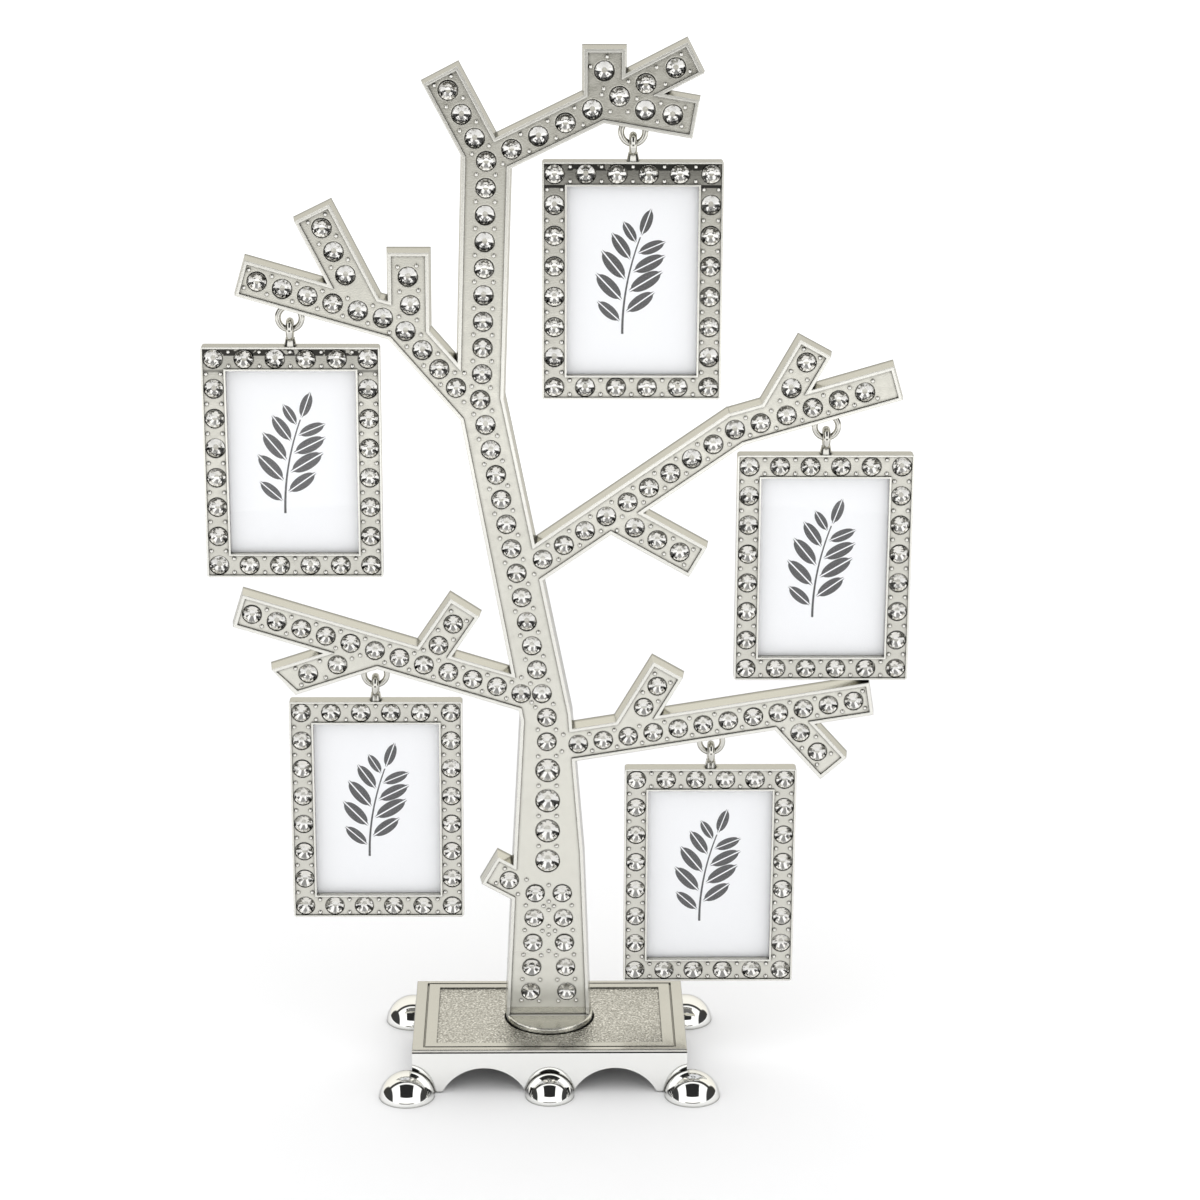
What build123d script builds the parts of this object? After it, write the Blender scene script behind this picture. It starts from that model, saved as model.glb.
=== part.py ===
from build123d import *
import math
import os
from typing import NamedTuple

# A table-top photo tree: a flat cast tree set with cut stones stands on a footed base,
# and five stone-set photo frames hang from rings under its branches.
# Millimetres, Z up, the floor at z = 0, the tree's front towards -Y.

# Base: a top plate on a scalloped apron with six dome feet.
BASE_WIDTH = 75.0
BASE_DEPTH = 45.0
BASE_HEIGHT = 12.9
PLATE_THICKNESS = 2.0
PLATE_EDGE = 0.9
PLATE_ROUND = 0.4
PLATE_FIT = 0.15
SIDE_BAND = 3.0
END_BAND = 1.7
PLATE_GROOVE = 0.6
PLATE_GROOVE_DEPTH = 0.4
SIDE_BORDER = 6.6
END_BORDER = 4.6
PLATE_PANEL_DEPTH = 0.4
SEAM_CHAMFER = 0.2
APRON_WALL = 2.2
APRON_LIFT = 0.3
ARCH_SPAN = 22.8
ARCH_CROWN = 7.4
ARCH_OFFSET = 17.9
LUG_SIZE = 6.5
LUG_THICKNESS = 2.4
STUD_RADIUS = 1.45
STUD_LENGTH = 5.0
NUT_FLATS = 5.5
NUT_THICKNESS = 1.8
FOOT_RADIUS = 7.6
FOOT_HEIGHT = 7.0
FOOT_OUT_X = 1.4
FOOT_OUT_Y = 1.8
MIDDLE_FOOT_RADIUS = 6.7
MIDDLE_FOOT_HEIGHT = 6.2

# Trunk flange in the recess of the top plate, held by two screws from below.
FLANGE_RADIUS = 12.0
FLANGE_GAP = 0.45
FLANGE_RISE = 1.2
FLANGE_ROUND = 0.6
RECESS_DEPTH = 2.4
BOSS_RADIUS = 15.5
BOSS_DEPTH = 3.0
SCREW_RADIUS = 1.5
SCREW_SPACING = 12.0
SCREW_BITE = 6.0
SCREW_HEAD_RADIUS = 2.8
SCREW_HEAD_HEIGHT = 1.6
WASHER_RADIUS = 3.4
WASHER_THICKNESS = 0.6
SCREW_GAP = 0.08
CLEARANCE_GAP = 0.25

# How far a cut runs past the face it opens.
CUT_OVER = 1.0

# Tree casting: a plate with sloped sides and a raised rim round a sunk panel.
TREE_THICKNESS = 5.5
TREE_DRAFT = 0.45
RIM_WIDTH = 0.9
RIM_STEP = 0.5
TRUNK_START = 0.4

# Cut stones, as shares of their own diameter.
STONE_DIAMETER = 4.8
LARGE_STONE_DIAMETER = 6.2
STONE_PITCH = 7.0
LARGE_STONE_PITCH = 8.8
FRAME_STONE_PITCH = 7.9
STONE_SIDES = 8
CULET_SHARE = 0.50
TABLE_SHARE = 0.56
PAVILION_SHARE = 0.19
GIRDLE_SHARE = 0.05
CROWN_SHARE = 0.17
SEAT_GAP = 0.25

# Hanging frames, round a 1.5 x 2 inch print.
PHOTO_WIDTH = 38.1
PHOTO_HEIGHT = 50.8
POCKET_GAP = 0.25
SIDE_WALL = 4.05
END_WALL = 5.75
FRAME_BORDER = 6.4
FRAME_CORNER = 0.8
FRAME_LIP = 1.95
CHANNEL_DEPTH = 0.4
CHANNEL_GAP = 0.05
LENS_THICKNESS = 0.6
CARD_SLACK = 0.1
CARD_THICKNESS = 0.25
BACK_THICKNESS = 0.9
BACK_INSET = 0.2
NOTCH_RADIUS = 5.0

# Rings under the branches and the eyes that hang in them.
RING_RADIUS = 3.1
RING_WIRE = 0.8
EYE_WIRE = 1.0
EYE_GAP = 0.35
EYE_REACH = 4.3
POST_RADIUS = 1.2
POST_FLARE = 1.65
SHANK_RADIUS = 1.0
SHANK_LENGTH = 2.5
SHANK_GAP = 0.05

FRAME_WIDTH = PHOTO_WIDTH + 2 * (POCKET_GAP + SIDE_WALL)
FRAME_HEIGHT = PHOTO_HEIGHT + 2 * (POCKET_GAP + END_WALL)
FRAME_DEPTH = FRAME_LIP + LENS_THICKNESS + CARD_SLACK + CARD_THICKNESS + BACK_THICKNESS + BACK_INSET
FRAME_FRONT = -FRAME_DEPTH / 2
LENS_FRONT = FRAME_FRONT + FRAME_LIP
CARD_FRONT = LENS_FRONT + LENS_THICKNESS + CARD_SLACK
BACK_FRONT = CARD_FRONT + CARD_THICKNESS
POCKET_WIDTH = PHOTO_WIDTH + 2 * POCKET_GAP
POCKET_HEIGHT = PHOTO_HEIGHT + 2 * POCKET_GAP
WINDOW_WIDTH = FRAME_WIDTH - 2 * FRAME_BORDER
WINDOW_HEIGHT = FRAME_HEIGHT - 2 * FRAME_BORDER
SEAT_SHARE = PAVILION_SHARE + GIRDLE_SHARE + 0.01
EYE_RADIUS = RING_WIRE + EYE_GAP + EYE_WIRE
TREE_FRONT = -TREE_THICKNESS / 2
PANEL_FRONT = TREE_FRONT + RIM_STEP
PLATE_UNDER = BASE_HEIGHT - PLATE_THICKNESS
EDGE_UNDER = BASE_HEIGHT - PLATE_EDGE
RECESS_FLOOR = BASE_HEIGHT - RECESS_DEPTH
BOSS_UNDER = PLATE_UNDER - BOSS_DEPTH


# The tree is drawn round frames of this width and height. It spreads and rises with its frames,
# so that each of them keeps clear of the limbs round it.
DRAWN_FRAME = (46.7, 62.8)
SPREAD = FRAME_WIDTH / DRAWN_FRAME[0]
RISE = FRAME_HEIGHT / DRAWN_FRAME[1]


class Limb(NamedTuple):
    """A straight bar of the tree from root to tip, with its row of stones.

    Points are drawn as (across, height over the base top). skew is how much further the tip
    reaches on its upper side than on its lower side. An elbow runs on into the next limb.
    """

    root: tuple
    tip: tuple
    width: float
    first_stone: tuple
    last_stone: tuple
    skew: float = 0.0
    elbow: bool = False


# The trunk's outline, up its left side and down its right.
TRUNK = [
    (-11.9, TRUNK_START),
    (-9.7, 49.0),
    (-7.7, 88.0),
    (-24.2, 176.9),
    (-22.4, 241.6),
    (-10.0, 240.6),
    (-12.0, 178.0),
    (5.8, 90.0),
    (9.2, 49.0),
    (11.1, TRUNK_START),
]

# Rows of stones on the trunk: first and last.
TRUNK_ROWS = [
    ((-17.6, 184.3), (-16.2, 240.4)),
    ((-0.7, 88.9), (-18.1, 177.4)),
    ((-0.7, 81.9), (-0.7, 81.9)),
    ((-3.9, 37.5), (-5.2, 8.0)),
    ((3.5, 37.5), (4.8, 8.0)),
]
LARGE_ROW = ((-0.5, 47.1), (-0.5, 73.6))

LIMBS = {
    "left_rise": Limb((-19.0, 174.3), (-38.5, 197.1), 9.6, (-24.4, 180.6), (-37.4, 195.8), elbow=True),
    "left_bough": Limb((-38.5, 197.8), (-80.0, 209.9), 9.8, (-43.2, 199.3), (-75.6, 208.9)),
    "left_twig_out": Limb((-48.0, 200.9), (-61.0, 227.0), 10.2, (-52.7, 210.6), (-58.6, 223.0)),
    "left_twig_up": Limb((-36.5, 194.5), (-36.5, 216.6), 10.6, (-36.1, 202.7), (-36.6, 210.2)),
    "crown_left": Limb((-16.2, 240.4), (-27.8, 262.5), 10.0, (-19.1, 246.3), (-25.8, 258.6)),
    "crown_right": Limb((-16.2, 240.4), (17.8, 257.1), 8.8, (-9.7, 243.5), (17.8, 257.1), elbow=True),
    "crown_twig_up": Limb((14.0, 254.0), (14.0, 269.2), 10.5, (13.9, 263.6), (13.9, 263.6)),
    "crown_twig_out": Limb((17.8, 257.1), (37.0, 267.0), 9.0, (24.5, 260.4), (32.1, 264.4)),
    "crown_twig_low": Limb((12.5, 255.6), (37.3, 251.3), 10.0, (24.4, 253.6), (31.4, 252.4)),
    "right_rise": Limb((-7.5, 129.6), (49.8, 170.1), 9.5, (-1.8, 133.6), (48.7, 169.3), elbow=True),
    "right_bough": Limb((48.0, 169.2), (91.2, 182.0), 9.4, (55.4, 171.1), (82.6, 179.4)),
    "right_twig_up": Limb((59.0, 172.7), (69.3, 191.4), 9.4, (63.3, 180.5), (67.1, 187.5)),
    "right_twig_low": Limb((16.5, 145.9), (39.4, 132.9), 9.4, (22.6, 142.4), (34.6, 135.6)),
    "low_left": Limb((-3.0, 94.3), (-83.0, 119.4), 9.4, (-7.6, 95.7), (-79.3, 118.3)),
    "low_left_twig": Limb((-33.0, 104.5), (-22.6, 120.2), 9.2, (-29.7, 109.5), (-25.7, 115.5)),
    "low_left_fork": Limb((-46.0, 107.6), (-71.3, 99.2), 8.8, (-56.8, 104.0), (-64.7, 101.5), 3.6),
    "low_right": Limb((0.0, 80.0), (86.7, 94.3), 9.3, (7.8, 81.2), (82.0, 93.5)),
    "low_right_twig": Limb((21.0, 83.9), (31.8, 102.5), 9.2, (25.4, 91.8), (29.0, 97.8)),
    "low_right_fork": Limb((63.5, 89.3), (77.0, 74.2), 9.2, (67.8, 84.4), (72.6, 78.9)),
    "stub": Limb((-4.0, 37.5), (-16.3, 44.4), 9.0, (-11.0, 41.4), (-11.0, 41.4)),
}

# Where each frame hangs: the limb over it, the distance across, and how far its ring's middle is from
# the limb's underside, square to it. This is less than the ring's inner radius, so that the limb
# closes the ring's top.
HANGERS = {
    "upper_left": ("left_bough", -67.5, 2.03),
    "top_right": ("crown_twig_low", 21.4, 1.11),
    "mid_right": ("right_bough", 72.9, 1.74),
    "lower_left": ("low_left", -46.8, 2.11),
    "lower_right": ("low_right", 43.8, 1.11),
}

# The outermost frames set the middle of the whole, so the stand is moved off the origin by this much.
STAND_X = -SPREAD * (HANGERS["upper_left"][1] + HANGERS["mid_right"][1]) / 2


def placed(point):
    """A drawn point as (x, z) in the room."""
    return (STAND_X + SPREAD * point[0], BASE_HEIGHT + RISE * point[1])


def limb_axes(limb):
    """Unit vectors along a limb and square to it, upwards."""
    dx = limb.tip[0] - limb.root[0]
    dz = limb.tip[1] - limb.root[1]
    length = math.hypot(dx, dz)
    along = (dx / length, dz / length)
    across = (-along[1], along[0])
    if across[1] < 0:
        across = (along[1], -along[0])
    return along, across


def limb_face(limb, inset=0.0):
    """The outline of one limb, drawn in from its sides and free tip by inset."""
    along, across = limb_axes(limb)
    side_inset = inset / SPREAD
    tip_inset = 0.0 if limb.elbow else side_inset
    corners = []
    for end, lead, side in (
        (limb.root, 0.0, 1),
        (limb.root, 0.0, -1),
        (limb.tip, -limb.skew / 2 - tip_inset, -1),
        (limb.tip, limb.skew / 2 - tip_inset, 1),
    ):
        half = side * (limb.width / 2 - side_inset)
        corner = (
            end[0] + across[0] * half + along[0] * lead,
            end[1] + across[1] * half + along[1] * lead,
        )
        corners.append(placed(corner))
    return make_face(Polyline(*corners, close=True))


def limb_underside(limb, x):
    """Drawn height of a limb's lower edge at x."""
    along, across = limb_axes(limb)
    slope = along[1] / along[0]
    axis_height = limb.root[1] + slope * (x - limb.root[0])
    return axis_height - limb.width / 2 / across[1]


def row(first, last, pitch):
    """Evenly spaced points from first to last, as near to the pitch as they divide."""
    dx = last[0] - first[0]
    dz = last[1] - first[1]
    steps = round(math.hypot(dx, dz) / pitch)
    if steps == 0:
        return [first]
    return [(first[0] + dx * i / steps, first[1] + dz * i / steps) for i in range(steps + 1)]


def facing_front(x, y, z):
    """A place whose own Z points to the front of the tree."""
    return Pos(x, y, z) * Rot(90, 0, 0)


def cut_stone(diameter):
    """A faceted stone standing on its culet: pavilion, girdle, crown and table."""
    girdle_low = PAVILION_SHARE * diameter
    girdle_high = girdle_low + GIRDLE_SHARE * diameter
    top = girdle_high + CROWN_SHARE * diameter
    culet = RegularPolygon(CULET_SHARE * diameter / 2, STONE_SIDES)
    waist = RegularPolygon(diameter / 2, STONE_SIDES)
    table = RegularPolygon(TABLE_SHARE * diameter / 2, STONE_SIDES)
    pavilion = loft([culet, Pos(0, 0, girdle_low) * waist])
    girdle = extrude(Pos(0, 0, girdle_low) * waist, girdle_high - girdle_low)
    crown = loft([Pos(0, 0, girdle_high) * waist, Pos(0, 0, top) * table])
    return pavilion + girdle + crown


def seat(diameter, reach):
    """A round pocket for a stone, open to the front by reach."""
    depth = SEAT_SHARE * diameter
    hole = Cylinder(diameter / 2 + SEAT_GAP, depth + reach, align=(Align.CENTER, Align.CENTER, Align.MIN))
    return Pos(0, 0, -depth) * hole


def dome(radius, height):
    """A foot shaped as a cap of a ball, flat side down on the floor."""
    ball = (radius**2 + height**2) / (2 * height)
    cap = Pos(0, 0, height - ball) * Sphere(ball)
    keep = Box(3 * ball, 3 * ball, height, align=(Align.CENTER, Align.CENTER, Align.MIN))
    return cap & keep


def rod(radius, low, high, x=0.0, y=0.0):
    """An upright round bar between two heights."""
    bar = Cylinder(radius, high - low, align=(Align.CENTER, Align.CENTER, Align.MIN))
    return Pos(x, y, low) * bar


def slab(width, depth, low, high):
    """A box centred on the origin between two heights."""
    block = Box(width, depth, high - low, align=(Align.CENTER, Align.CENTER, Align.MIN))
    return Pos(0, 0, low) * block


def stud_places():
    """The four corners where the top plate is bolted to the apron."""
    x = BASE_WIDTH / 2 - APRON_WALL - LUG_SIZE / 2
    y = BASE_DEPTH / 2 - APRON_WALL - LUG_SIZE / 2
    return [(x, y), (-x, y), (-x, -y), (x, -y)]


def screw_places():
    """The two screws that hold the trunk flange down."""
    return [-SCREW_SPACING / 2, SCREW_SPACING / 2]


def base_plate():
    """Top plate: two border bands, a sunk panel, the flange recess and its boss, four studs below.

    Its thin edge lies on the apron and its thicker middle drops inside the apron's walls.
    """
    plate = slab(BASE_WIDTH, BASE_DEPTH, EDGE_UNDER, BASE_HEIGHT)
    plate = fillet(plate.faces().sort_by(Axis.Z)[-1].edges(), PLATE_ROUND)
    plate = chamfer(plate.faces().sort_by(Axis.Z)[0].edges(), SEAM_CHAMFER)
    inside = 2 * (APRON_WALL + PLATE_FIT)
    plate += slab(BASE_WIDTH - inside, BASE_DEPTH - inside, PLATE_UNDER, EDGE_UNDER)
    plate += rod(BOSS_RADIUS, BOSS_UNDER, PLATE_UNDER)
    groove_width = BASE_WIDTH - 2 * SIDE_BAND
    groove_depth = BASE_DEPTH - 2 * END_BAND
    groove = slab(groove_width, groove_depth, BASE_HEIGHT - PLATE_GROOVE_DEPTH, BASE_HEIGHT + CUT_OVER)
    island = slab(
        groove_width - 2 * PLATE_GROOVE, groove_depth - 2 * PLATE_GROOVE, 0, BASE_HEIGHT + 2 * CUT_OVER
    )
    plate -= groove - island
    plate -= slab(
        BASE_WIDTH - 2 * SIDE_BORDER,
        BASE_DEPTH - 2 * END_BORDER,
        BASE_HEIGHT - PLATE_PANEL_DEPTH,
        BASE_HEIGHT + CUT_OVER,
    )
    plate -= rod(FLANGE_RADIUS + FLANGE_GAP, RECESS_FLOOR, BASE_HEIGHT + CUT_OVER)
    for x in screw_places():
        plate -= rod(SCREW_RADIUS + CLEARANCE_GAP, 0, BASE_HEIGHT, x)
    for x, y in stud_places():
        plate += rod(STUD_RADIUS, PLATE_UNDER - STUD_LENGTH, PLATE_UNDER, x, y)
    return plate


def base_apron():
    """Four walls cut into scallops, with a bolting lug in each corner."""
    wall = slab(BASE_WIDTH, BASE_DEPTH, APRON_LIFT, EDGE_UNDER)
    wall = chamfer(wall.faces().sort_by(Axis.Z)[-1].edges(), SEAM_CHAMFER)
    wall -= slab(BASE_WIDTH - 2 * APRON_WALL, BASE_DEPTH - 2 * APRON_WALL, 0, BASE_HEIGHT)
    rise = ARCH_CROWN - APRON_LIFT
    arch_radius = ((ARCH_SPAN / 2) ** 2 + rise**2) / (2 * rise)
    arch_height = ARCH_CROWN - arch_radius
    for x in (-ARCH_OFFSET, ARCH_OFFSET):
        wall -= Pos(x, 0, arch_height) * Rot(90, 0, 0) * Cylinder(arch_radius, 2 * BASE_DEPTH)
    wall -= Pos(0, 0, arch_height) * Rot(0, 90, 0) * Cylinder(arch_radius, 2 * BASE_WIDTH)
    for x, y in stud_places():
        lug = Pos(x, y, 0) * slab(LUG_SIZE, LUG_SIZE, PLATE_UNDER - LUG_THICKNESS, PLATE_UNDER)
        wall += lug
    for x, y in stud_places():
        wall -= rod(STUD_RADIUS + CLEARANCE_GAP, 0, BASE_HEIGHT, x, y)
    return wall


def plate_nuts():
    """Hexagon nuts on the four studs."""
    top = PLATE_UNDER - LUG_THICKNESS
    nuts = []
    for x, y in stud_places():
        hexagon = Pos(x, y, top - NUT_THICKNESS) * RegularPolygon(NUT_FLATS / math.sqrt(3), 6)
        nut = extrude(hexagon, NUT_THICKNESS, dir=(0, 0, 1))
        nuts.append(nut - rod(STUD_RADIUS + SCREW_GAP, 0, BASE_HEIGHT, x, y))
    return nuts


def foot(x, y, radius, height):
    """A dome foot notched round the apron it is joined to."""
    return Pos(x, y, 0) * dome(radius, height) - slab(BASE_WIDTH, BASE_DEPTH, -CUT_OVER, BASE_HEIGHT)


def trunk_face(inset=0.0):
    """The outline of the trunk, drawn in from its sides by inset."""
    half = len(TRUNK) // 2
    side_inset = inset / SPREAD
    corners = [(x + side_inset, z) for x, z in TRUNK[:half]]
    corners += [(x - side_inset, z) for x, z in TRUNK[half:]]
    return make_face(Polyline(*[placed(corner) for corner in corners], close=True))


def tree_faces(inset=0.0):
    """The flat outlines of the trunk and of each limb, drawn in by inset along their edges."""
    return [trunk_face(inset)] + [limb_face(limb, inset) for limb in LIMBS.values()]


def small_stone_points():
    """Every place on the tree that takes a small stone."""
    rows = TRUNK_ROWS + [(limb.first_stone, limb.last_stone) for limb in LIMBS.values()]
    points = []
    for first, last in rows:
        points += row(placed(first), placed(last), STONE_PITCH)
    return points


def large_stone_points():
    """The four larger stones down the trunk."""
    return row(placed(LARGE_ROW[0]), placed(LARGE_ROW[1]), LARGE_STONE_PITCH)


def tree_casting():
    """The tree plate with its sloped sides, sunk panel, stone seats, flange and screw holes."""
    back, front = Plane.XZ.offset(TREE_FRONT), Plane.XZ.offset(-TREE_FRONT)
    bars = [
        loft([back * wide, front * narrow])
        for wide, narrow in zip(tree_faces(-TREE_DRAFT), tree_faces())
    ]
    tree = bars[0] + bars[1:]
    panel = Sketch() + tree_faces(RIM_WIDTH)
    tree -= extrude(Plane.XZ.offset(-PANEL_FRONT) * panel, 2 * RIM_STEP)
    flange = rod(FLANGE_RADIUS, RECESS_FLOOR, BASE_HEIGHT + FLANGE_RISE, STAND_X)
    flange = fillet(flange.edges().group_by(Axis.Z)[-1], FLANGE_ROUND)
    tree += flange
    seats = [
        facing_front(x, PANEL_FRONT, z) * seat(STONE_DIAMETER, RIM_STEP)
        for x, z in small_stone_points()
    ]
    seats += [
        facing_front(x, PANEL_FRONT, z) * seat(LARGE_STONE_DIAMETER, RIM_STEP)
        for x, z in large_stone_points()
    ]
    tree -= seats
    for x in screw_places():
        tree -= rod(SCREW_RADIUS + SCREW_GAP, 0, RECESS_FLOOR + SCREW_BITE, STAND_X + x)
    return tree


def stones_at(points, diameter, front):
    """Stones seated with their girdles just under the surface at front."""
    stone = cut_stone(diameter)
    return [facing_front(x, front + SEAT_SHARE * diameter, z) * stone for x, z in points]


def trunk_screws():
    """Pan-head screws up through the plate into the trunk."""
    seat_height = BOSS_UNDER - WASHER_THICKNESS
    screws = []
    for x in screw_places():
        shank = rod(SCREW_RADIUS, seat_height, RECESS_FLOOR + SCREW_BITE, STAND_X + x)
        head = rod(SCREW_HEAD_RADIUS, seat_height - SCREW_HEAD_HEIGHT, seat_height, STAND_X + x)
        screws.append(shank + head)
    return screws


def trunk_washers():
    """A washer under each trunk screw's head."""
    washers = []
    for x in screw_places():
        disc = rod(WASHER_RADIUS, BOSS_UNDER - WASHER_THICKNESS, BOSS_UNDER, STAND_X + x)
        washers.append(disc - rod(SCREW_RADIUS + SCREW_GAP, 0, BASE_HEIGHT, STAND_X + x))
    return washers


def ring_centre(place):
    """Centre of the ring under a branch, as (x, z)."""
    limb_name, x, drop = HANGERS[place]
    limb = LIMBS[limb_name]
    room_x, underside = placed((x, limb_underside(limb, x)))
    root, tip = placed(limb.root), placed(limb.tip)
    steepness = math.dist(root, tip) / abs(tip[0] - root[0])
    return room_x, underside - steepness * (drop + TREE_DRAFT / 2)


def pivot(place):
    """Middle of the ring's lowest wire, where a frame's eye hangs."""
    x, z = ring_centre(place)
    return x, z - RING_RADIUS


def hanging_ring(place, tree_body):
    """A wire ring facing the front, cut to sit against the underside of its branch."""
    x, z = ring_centre(place)
    ring = Pos(x, 0, z) * Rot(90, 0, 0) * Torus(RING_RADIUS, RING_WIRE)
    return (ring - tree_body).solids().sort_by(SortBy.VOLUME)[-1]


def frame_stone_points():
    """Places of a frame's stones, from the middle of the frame."""
    half_x = (FRAME_WIDTH - FRAME_BORDER) / 2
    half_z = (FRAME_HEIGHT - FRAME_BORDER) / 2
    points = row((-half_x, half_z), (half_x, half_z), FRAME_STONE_PITCH)
    points += row((-half_x, -half_z), (half_x, -half_z), FRAME_STONE_PITCH)
    for x in (-half_x, half_x):
        points += row((x, -half_z), (x, half_z), FRAME_STONE_PITCH)[1:-1]
    return points


def upright(width, height, front, back):
    """A panel facing the front, between two depths, centred on a frame."""
    return Pos(0, (front + back) / 2, 0) * Box(width, back - front, height)


def frame_casting():
    """A frame's front: stone channel between thin rims, window, rear pocket, seats, eye socket."""
    body = upright(FRAME_WIDTH, FRAME_HEIGHT, FRAME_FRONT, -FRAME_FRONT)
    body = fillet(body.edges().filter_by(Axis.Y), FRAME_CORNER)
    channel = STONE_DIAMETER + 2 * SEAT_GAP + 2 * CHANNEL_GAP
    rim = (FRAME_BORDER - channel) / 2
    floor = FRAME_FRONT + CHANNEL_DEPTH
    sunk = upright(FRAME_WIDTH - 2 * rim, FRAME_HEIGHT - 2 * rim, FRAME_FRONT - CUT_OVER, floor)
    inside = 2 * (rim + channel)
    sunk -= upright(FRAME_WIDTH - inside, FRAME_HEIGHT - inside, FRAME_FRONT - 2 * CUT_OVER, -FRAME_FRONT)
    body -= sunk
    body -= upright(WINDOW_WIDTH, WINDOW_HEIGHT, FRAME_FRONT - CUT_OVER, -FRAME_FRONT)
    body -= upright(POCKET_WIDTH, POCKET_HEIGHT, LENS_FRONT, -FRAME_FRONT + CUT_OVER)
    body -= [
        facing_front(x, floor, z) * seat(STONE_DIAMETER, CHANNEL_DEPTH) for x, z in frame_stone_points()
    ]
    top = FRAME_HEIGHT / 2
    body -= rod(SHANK_RADIUS + SHANK_GAP, top - SHANK_LENGTH, top + CUT_OVER)
    return body


def frame_eye():
    """The loop on a frame's top, edge-on to the front, with its flared post and shank."""
    top = FRAME_HEIGHT / 2
    loop = Pos(0, 0, top + EYE_REACH) * Rot(0, 90, 0) * Torus(EYE_RADIUS, EYE_WIRE)
    post_height = EYE_REACH - EYE_RADIUS
    post = Pos(0, 0, top + post_height / 2) * Cone(POST_FLARE, POST_RADIUS, post_height)
    post -= Pos(0, 0, top + EYE_REACH) * Rot(0, 90, 0) * Cylinder(EYE_RADIUS, 4 * POST_FLARE)
    return loop + post + rod(SHANK_RADIUS, top - SHANK_LENGTH, top)


def frame_lens():
    """Clear sheet against the window lip."""
    return upright(PHOTO_WIDTH, PHOTO_HEIGHT, LENS_FRONT, LENS_FRONT + LENS_THICKNESS)


def frame_card():
    """The print behind the lens, with a little slack."""
    return upright(PHOTO_WIDTH, PHOTO_HEIGHT, CARD_FRONT, BACK_FRONT)


def frame_back():
    """Press-in back plate with a half-round finger notch in its lower edge."""
    plate = upright(PHOTO_WIDTH, PHOTO_HEIGHT, BACK_FRONT, BACK_FRONT + BACK_THICKNESS)
    notch = Pos(0, 0, -PHOTO_HEIGHT / 2) * Rot(90, 0, 0) * Cylinder(NOTCH_RADIUS, 2 * FRAME_DEPTH)
    return plate - notch


def save(name, shapes):
    """Write one named piece, or a group of like pieces, as a STEP file."""
    solids = [solid for shape in shapes for solid in shape.solids()]
    whole = solids[0] if len(solids) == 1 else Compound(children=solids)
    export_step(whole, f"parts/{name}.step")


os.makedirs("parts", exist_ok=True)

on_stand = Pos(STAND_X, 0, 0)
save("base_plate", [on_stand * base_plate()])
save("base_apron", [on_stand * base_apron()])
save("plate_nuts", [on_stand * nut for nut in plate_nuts()])
corner_x = BASE_WIDTH / 2 + FOOT_OUT_X
corner_y = BASE_DEPTH / 2 + FOOT_OUT_Y
FEET = {
    "foot_front_left": (-corner_x, -corner_y, FOOT_RADIUS, FOOT_HEIGHT),
    "foot_front_right": (corner_x, -corner_y, FOOT_RADIUS, FOOT_HEIGHT),
    "foot_back_left": (-corner_x, corner_y, FOOT_RADIUS, FOOT_HEIGHT),
    "foot_back_right": (corner_x, corner_y, FOOT_RADIUS, FOOT_HEIGHT),
    "foot_front_middle": (0.0, -corner_y, MIDDLE_FOOT_RADIUS, MIDDLE_FOOT_HEIGHT),
    "foot_back_middle": (0.0, corner_y, MIDDLE_FOOT_RADIUS, MIDDLE_FOOT_HEIGHT),
}
for foot_name, foot_sizes in FEET.items():
    save(foot_name, [on_stand * foot(*foot_sizes)])

tree = tree_casting()
save("tree", [tree])
save("tree_stones", stones_at(small_stone_points(), STONE_DIAMETER, PANEL_FRONT))
save("trunk_stones", stones_at(large_stone_points(), LARGE_STONE_DIAMETER, PANEL_FRONT))
save("trunk_screws", trunk_screws())
save("trunk_washers", trunk_washers())

casting = frame_casting()
frame_stones = stones_at(frame_stone_points(), STONE_DIAMETER, FRAME_FRONT + CHANNEL_DEPTH)
eye = frame_eye()
lens = frame_lens()
card = frame_card()
back = frame_back()
for place in HANGERS:
    pivot_x, pivot_z = pivot(place)
    hung = Pos(pivot_x, 0, pivot_z - EYE_REACH - FRAME_HEIGHT / 2)
    save(f"{place}_ring", [hanging_ring(place, tree)])
    save(f"{place}_frame", [hung * casting])
    save(f"{place}_stones", [hung * stone for stone in frame_stones])
    save(f"{place}_eye", [hung * eye])
    save(f"{place}_lens", [hung * lens])
    save(f"{place}_card", [hung * card])
    save(f"{place}_back", [hung * back])
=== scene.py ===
# %% [markdown]
# # Jewelled photo tree
# The object is a flat cast tree on a footed base, with five small picture frames that swing from rings.
# Its solid pieces come from the CAD frame, already in place and in metres. This lesson adds what a CAD model
# leaves out: the cut of the stones, the beads between them, the printed cards, the finishes and the light.

import math
import random

import bpy
from mathutils import Matrix, Vector


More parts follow.
